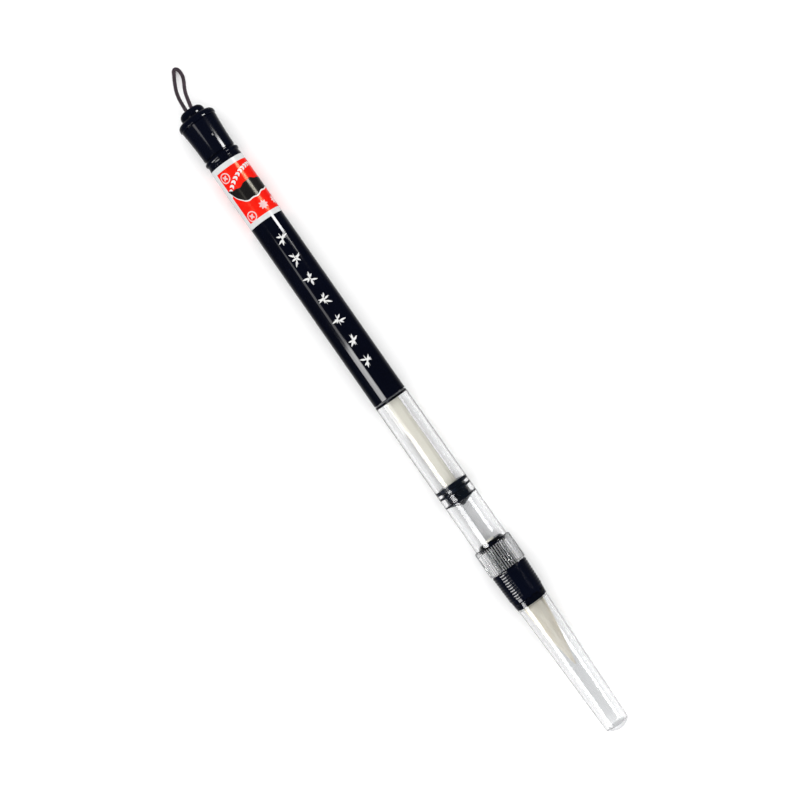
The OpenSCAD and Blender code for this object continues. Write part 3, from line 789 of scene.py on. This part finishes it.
def make_spindle():
    """The spindle with its steep left-handed thread, and its shaft and thrust flange."""
    head_x, tip_x = span("drive_spindle")
    flange_x, flange_end = SHAFT_FLANGE_X, SHAFT_FLANGE_X + 1 * MM
    flange_r, bevel = 3.4 * MM, 0.5 * MM
    crest, lead, starts = 1.3 * MM, 8 * MM, 4
    corners = [
        (head_x, 0, 0), (head_x, SHAFT_R, 0.15 * MM), (flange_x, SHAFT_R, 0),
        (flange_x, flange_r, 0.1 * MM), (flange_end, flange_r, 0.1 * MM),
        (flange_end, crest, 0.1 * MM), (tip_x - bevel, crest, 0.1 * MM),
        (tip_x, crest - bevel, 0.1 * MM), (tip_x, 0, 0),
    ]

    def steep(x, angle, r):
        if x < flange_end + 0.5 * MM or r < crest - 0.01 * MM:
            return r
        wave = math.cos(starts * (TURN * x / lead + angle))
        return r - THREAD_DEPTH * (1 - wave) / 2

    outline = refined(filleted(corners), 0.4 * MM, flange_x, tip_x)
    verts, faces = turned(outline, 64, steep)
    piece("drive_spindle_screw", verts, faces, "knob", ACETAL, ["drive_spindle"], 40)


make_reservoir()
make_guide()
make_piston()
make_spindle()

# ---------------------------------------------------------------- section and tuft

RINGS = 10
SOCKET_R = 4.66 * MM
NOSE_R = SOCKET_R + WET


def make_section():
    back_x = SECTION_X
    plug_r = BORE_R - 0.05 * MM
    thread_x = RESERVOIR_END - 4.0 * MM
    shoulder_x = RESERVOIR_END + 0.05 * MM
    groove_x, groove_end, groove_r = back_x + 2.1 * MM, back_x + 3.2 * MM, 3.66 * MM
    wick_hole_r, tuft_hole_r, tuft_hole_x = 1.51 * MM, 3.76 * MM, NOSE_END - 9 * MM
    rings_x, rings_len = shoulder_x + 0.3 * MM, 9 * MM
    rings_end = rings_x + rings_len
    grip_end = CAP_X - 0.06 * MM
    back_r, front_r, ring_height = 5.98 * MM, 5.68 * MM, 0.2 * MM

    def grip_r(share):
        return back_r + (front_r - back_r) * share

    corners = [
        (back_x, wick_hole_r, 0.05 * MM), (back_x, plug_r - 0.75 * MM, 0.15 * MM),
        (back_x + 0.85 * MM, BORE_R + WET, 0.1 * MM),
        (groove_x, BORE_R + WET, 0.05 * MM), (groove_x, groove_r, 0.05 * MM),
        (groove_end, groove_r, 0.05 * MM), (groove_end, plug_r, 0.05 * MM),
        (thread_x, plug_r, 0.05 * MM), (thread_x + 0.25 * MM, THREAD_CORE_R, 0.05 * MM),
        (shoulder_x, THREAD_CORE_R, 0), (shoulder_x, back_r - ring_height, 0.06 * MM),
    ]
    for i in range(RINGS):
        for step, height in ((0.0, 0), (0.28, 1), (0.72, 1)):
            share = (i + step) / RINGS
            r = grip_r(share) - ring_height * (1 - height)
            corners.append((rings_x + rings_len * share, r, 0.05 * MM))
    corners += [
        (rings_end, front_r - ring_height, 0.06 * MM),
        (grip_end - 0.05 * MM, front_r - ring_height, 0.12 * MM),
        (grip_end, NOSE_R, 0.03 * MM), (NOSE_END, NOSE_R, 0.2 * MM), (NOSE_END, tuft_hole_r, 0.05 * MM),
        (tuft_hole_x, tuft_hole_r, 0), (tuft_hole_x, wick_hole_r, 0),
    ]
    outline = refined(filleted(corners, 3), 0.1 * MM, thread_x, shoulder_x)

    def shaped(x, angle, r):
        on_thread = thread_x + 0.3 * MM < x < shoulder_x - 0.1 * MM
        if on_thread and THREAD_CORE_R - 0.02 * MM < r < THREAD_CORE_R + 0.02 * MM:
            return r + thread_height(x, angle)
        return r

    verts, faces = turned(outline, 160, shaped)
    shell = piece("grip_section_shell", verts, faces, "section", BLACK_GRIP,
                  ["grip_section"], 28)
    margin = 0.1 * MM
    second_finish(shell, BLACK_WETTED, lambda x, r: x < shoulder_x - margin or x > grip_end + margin)


def make_oring():
    low, high = span("section_oring")
    centre_x, wire = (low + high) / 2, (high - low) / 2
    middle = widest("section_oring") - wire
    outline = [(centre_x + wire * math.cos(TURN * k / 24), middle + wire * math.sin(TURN * k / 24))
               for k in range(24)]
    verts, faces = turned(outline, 128)
    piece("section_seal_ring", verts, faces, "section_seal", RUBBER, ["section_oring"])


TUFT_LEN = 22.9 * MM
TUFT_BASE_R = 3.4 * MM
TUFT_TIP_R = 0.15 * MM


def tuft_radius(share):
    return TUFT_BASE_R - (TUFT_BASE_R - TUFT_TIP_R) * min(1, max(0, share)) ** 1.3


def make_tuft():
    """The combed bundle: a ridged core with fine hairs laid over it, all meeting at the tip."""
    draw = random.Random(11)
    root_x, root_r = NOSE_END - 0.28 * MM, TUFT_BASE_R * 0.96
    core = [(root_x, 0), (root_x, root_r), (NOSE_END, root_r)]
    core += [(NOSE_END + TUFT_LEN * 0.97 * k / 40, tuft_radius(k / 40) * 0.95) for k in range(1, 41)]
    core += [(NOSE_END + TUFT_LEN * 0.99, 0)]
    ridges = 120
    depth = [draw.uniform(0.0, 0.05) for _ in range(ridges)]

    def ridged(_, angle, r):
        return r * (1 - depth[int(angle / TURN * ridges) % ridges])

    verts, faces = turned(core, 240, ridged)
    piece("tuft_core", verts, faces, "section", HAIR, ["brush_tuft"], 60)

    hairs, steps = 1100, 12
    verts, faces = [], []
    for _ in range(hairs):
        angle = draw.uniform(0, TURN)
        lift = draw.uniform(0.95, 1.03)
        reach = draw.uniform(0.72, 1.0)
        drift = draw.gauss(0, 0.10)
        start = draw.uniform(0, 0.12) if draw.random() < 0.4 else 0
        thick = draw.uniform(0.028, 0.045) * MM
        base = len(verts)
        for k in range(steps + 1):
            share = start + (reach - start) * k / steps
            r = tuft_radius(share) * lift
            a = angle + drift * share + 0.02 * math.sin(9 * share + angle * 5)
            here = Vector((NOSE_END + TUFT_LEN * share, -r * math.sin(a), AXIS_Z + r * math.cos(a)))
            out = Vector((0, -math.sin(a), math.cos(a)))
            side = Vector((0, math.cos(a), math.sin(a)))
            w = thick * (1 - 0.75 * k / steps)
            verts += [here + side * w, here + out * w, here - side * w]
        for k in range(steps):
            for m in range(3):
                n = (m + 1) % 3
                low, high = base + 3 * k, base + 3 * (k + 1)
                faces.append((low + m, high + m, high + n, low + n))
        faces += [(base, base + 1, base + 2), tuple(base + 3 * steps + m for m in (2, 1, 0))]
    piece("tuft_hairs", verts, faces, "section", HAIR, crease=180)


make_section()
make_oring()
make_tuft()

# ---------------------------------------------------------------- cap


def make_cap():
    mouth_r = widest("cap")
    wall = 0.74 * MM
    neck_x, neck_r = CAP_X + 4.5 * MM, 4.95 * MM
    socket_x = CAP_X + 2.45 * MM
    tip_r, dome = 3.92 * MM, 2.2 * MM
    dome_x = CAP_END - dome
    corners = [(CAP_X, mouth_r - 0.12 * MM, 0.1 * MM), (CAP_X + 0.2 * MM, mouth_r, 0.15 * MM),
               (socket_x, 5.12 * MM, 0.8 * MM), (neck_x, neck_r, 1.2 * MM)]
    for k in range(0, 13):
        a = math.radians(90 * k / 12)
        corners.append((dome_x + dome * math.sin(a), tip_r * math.cos(a) if k < 12 else 0, 0))
    inner_tip, inner_dome, inner_neck = tip_r - wall, dome - wall - 0.1 * MM, neck_r - wall
    for k in range(12, -1, -1):
        a = math.radians(90 * k / 12)
        corners.append((dome_x + inner_dome * math.sin(a), inner_tip * math.cos(a) if k < 12 else 0, 0))
    corners += [(neck_x, inner_neck, 0.8 * MM), (socket_x, inner_neck + 0.06 * MM, 0.1 * MM),
                (socket_x, SOCKET_R, 0.05 * MM), (CAP_X, SOCKET_R, 0.1 * MM)]
    verts, faces = turned(filleted(corners), 192)
    shell = piece("cap_shell", verts, faces, "cap", CLEAR_CAP, ["cap"], 35)
    second_finish(shell, CLOUDED, lambda x, r: x > dome_x + 0.5 * MM)


make_cap()

# ---------------------------------------------------------------- finishes of the CAD parts that stay

for node, material in {
    "knob_pin": STEEL, "rod_nut": ACETAL, "ink_feed": WICK, "tuft_sleeve": SLEEVE,
    "tuft_root": RESIN_ROOT, "tuft_binding": THREAD,
}.items():
    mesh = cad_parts[node].data
    mesh.materials.clear()
    mesh.materials.append(material)

# ---------------------------------------------------------------- floor and light


def make_floor():
    mat, nodes, links, shader = principled("floor", (0.92, 0.92, 0.92), 0.7)
    grain = noise(nodes, links, 40, 3)
    tinted(nodes, links, shader, grain, (0.91, 0.91, 0.91), (0.93, 0.93, 0.93))
    size = 2.0
    corners = [(-size, -size, 0), (size, -size, 0), (size, size, 0), (-size, size, 0)]
    mesh = bpy.data.meshes.new("floor")
    mesh.from_pydata(corners, [], [(0, 1, 2, 3)])
    mesh.materials.append(mat)
    floor = bpy.data.objects.new("floor", mesh)
    floor.visible_glossy = False
    bpy.context.collection.objects.link(floor)


def area_light(name, side, tail_end, cap_end, spread, radiance, shape="RECTANGLE"):
    """A soft box beside the pen that only gloss sees. Each end is its x and its angle in degrees
    from straight up, side is -1 or 1 for the pen's side, and spread is the angle that it covers."""
    distance = 0.7

    def place(x, zenith):
        a = math.radians(zenith)
        return Vector((x, side * distance * math.sin(a), AXIS_Z + distance * math.cos(a)))

    start, end = place(*tail_end), place(*cap_end)
    middle = (start + end) / 2
    along = (end - start).normalized()
    out = Vector((0, middle.y, middle.z - AXIS_Z))
    out = (out - along * out.dot(along)).normalized()
    data = bpy.data.lights.new(name, "AREA")
    data.shape = shape
    data.size, data.size_y = (end - start).length, 2 * distance * math.tan(math.radians(spread) / 2)
    fill = math.pi / 4 if shape == "ELLIPSE" else 1
    data.energy = radiance * math.pi * data.size * data.size_y * fill
    light = bpy.data.objects.new(name, data)
    facing = Matrix((along, out.cross(along), out)).transposed().to_4x4()
    light.matrix_world = Matrix.Translation(middle) @ facing
    light.visible_camera = False
    light.visible_diffuse = False
    bpy.context.collection.objects.link(light)


DAYLIGHT = 1.5
ROOM_ABOVE, ROOM_BELOW = 0.025, 0.75


def make_world():
    """White light all round for matt surfaces. Gloss sees a dim room that is paler below."""
    world = bpy.data.worlds.new("studio")
    bpy.context.scene.world = world
    world.use_nodes = True
    nodes, links = world.node_tree.nodes, world.node_tree.links
    background = nodes["Background"]
    background.inputs["Color"].default_value = (1, 1, 1, 1)
    coords = nodes.new("ShaderNodeTexCoord")
    split = nodes.new("ShaderNodeSeparateXYZ")
    links.new(coords.outputs["Generated"], split.inputs["Vector"])
    below = ranged(nodes, links, split.outputs["Z"], 1, 0, -1, 0)
    steep = nodes.new("ShaderNodeMath")
    steep.operation = "POWER"
    steep.inputs[1].default_value = 3
    links.new(below, steep.inputs[0])
    room = ranged(nodes, links, steep.outputs["Value"], ROOM_ABOVE, ROOM_BELOW, 0, 1)
    path = nodes.new("ShaderNodeLightPath")
    reflected = nodes.new("ShaderNodeMath")
    reflected.operation = "SUBTRACT"
    reflected.use_clamp = True
    links.new(path.outputs["Glossy Depth"], reflected.inputs[0])
    links.new(path.outputs["Diffuse Depth"], reflected.inputs[1])
    seen = nodes.new("ShaderNodeMix")
    seen.inputs["A"].default_value = DAYLIGHT
    links.new(reflected.outputs["Value"], seen.inputs["Factor"])
    links.new(room, seen.inputs["B"])
    links.new(seen.outputs["Result"], background.inputs["Strength"])


def make_light():
    near, far = -1, 1
    area_light("box_near_tube", near, (0.0, 40), (0.115, 40), 34, 9)
    area_light("box_near_grip", near, (0.115, 62), (0.146, 62), 34, 34)
    area_light("box_near_cap", near, (0.146, 62), (0.35, 62), 26, 9)
    area_light("box_near_taper", near, (-0.16, 25), (0.10, 40), 12, 2.2, "ELLIPSE")
    area_light("box_far", far, (-0.225, 50), (-0.166, 50), 17, 26)
    area_light("box_far_dim", far, (-0.166, 52), (-0.135, 52), 6, 5)
    bpy.context.scene.view_settings.view_transform = "Standard"
    bpy.context.scene.view_settings.look = "None"


make_floor()
make_world()
make_light()
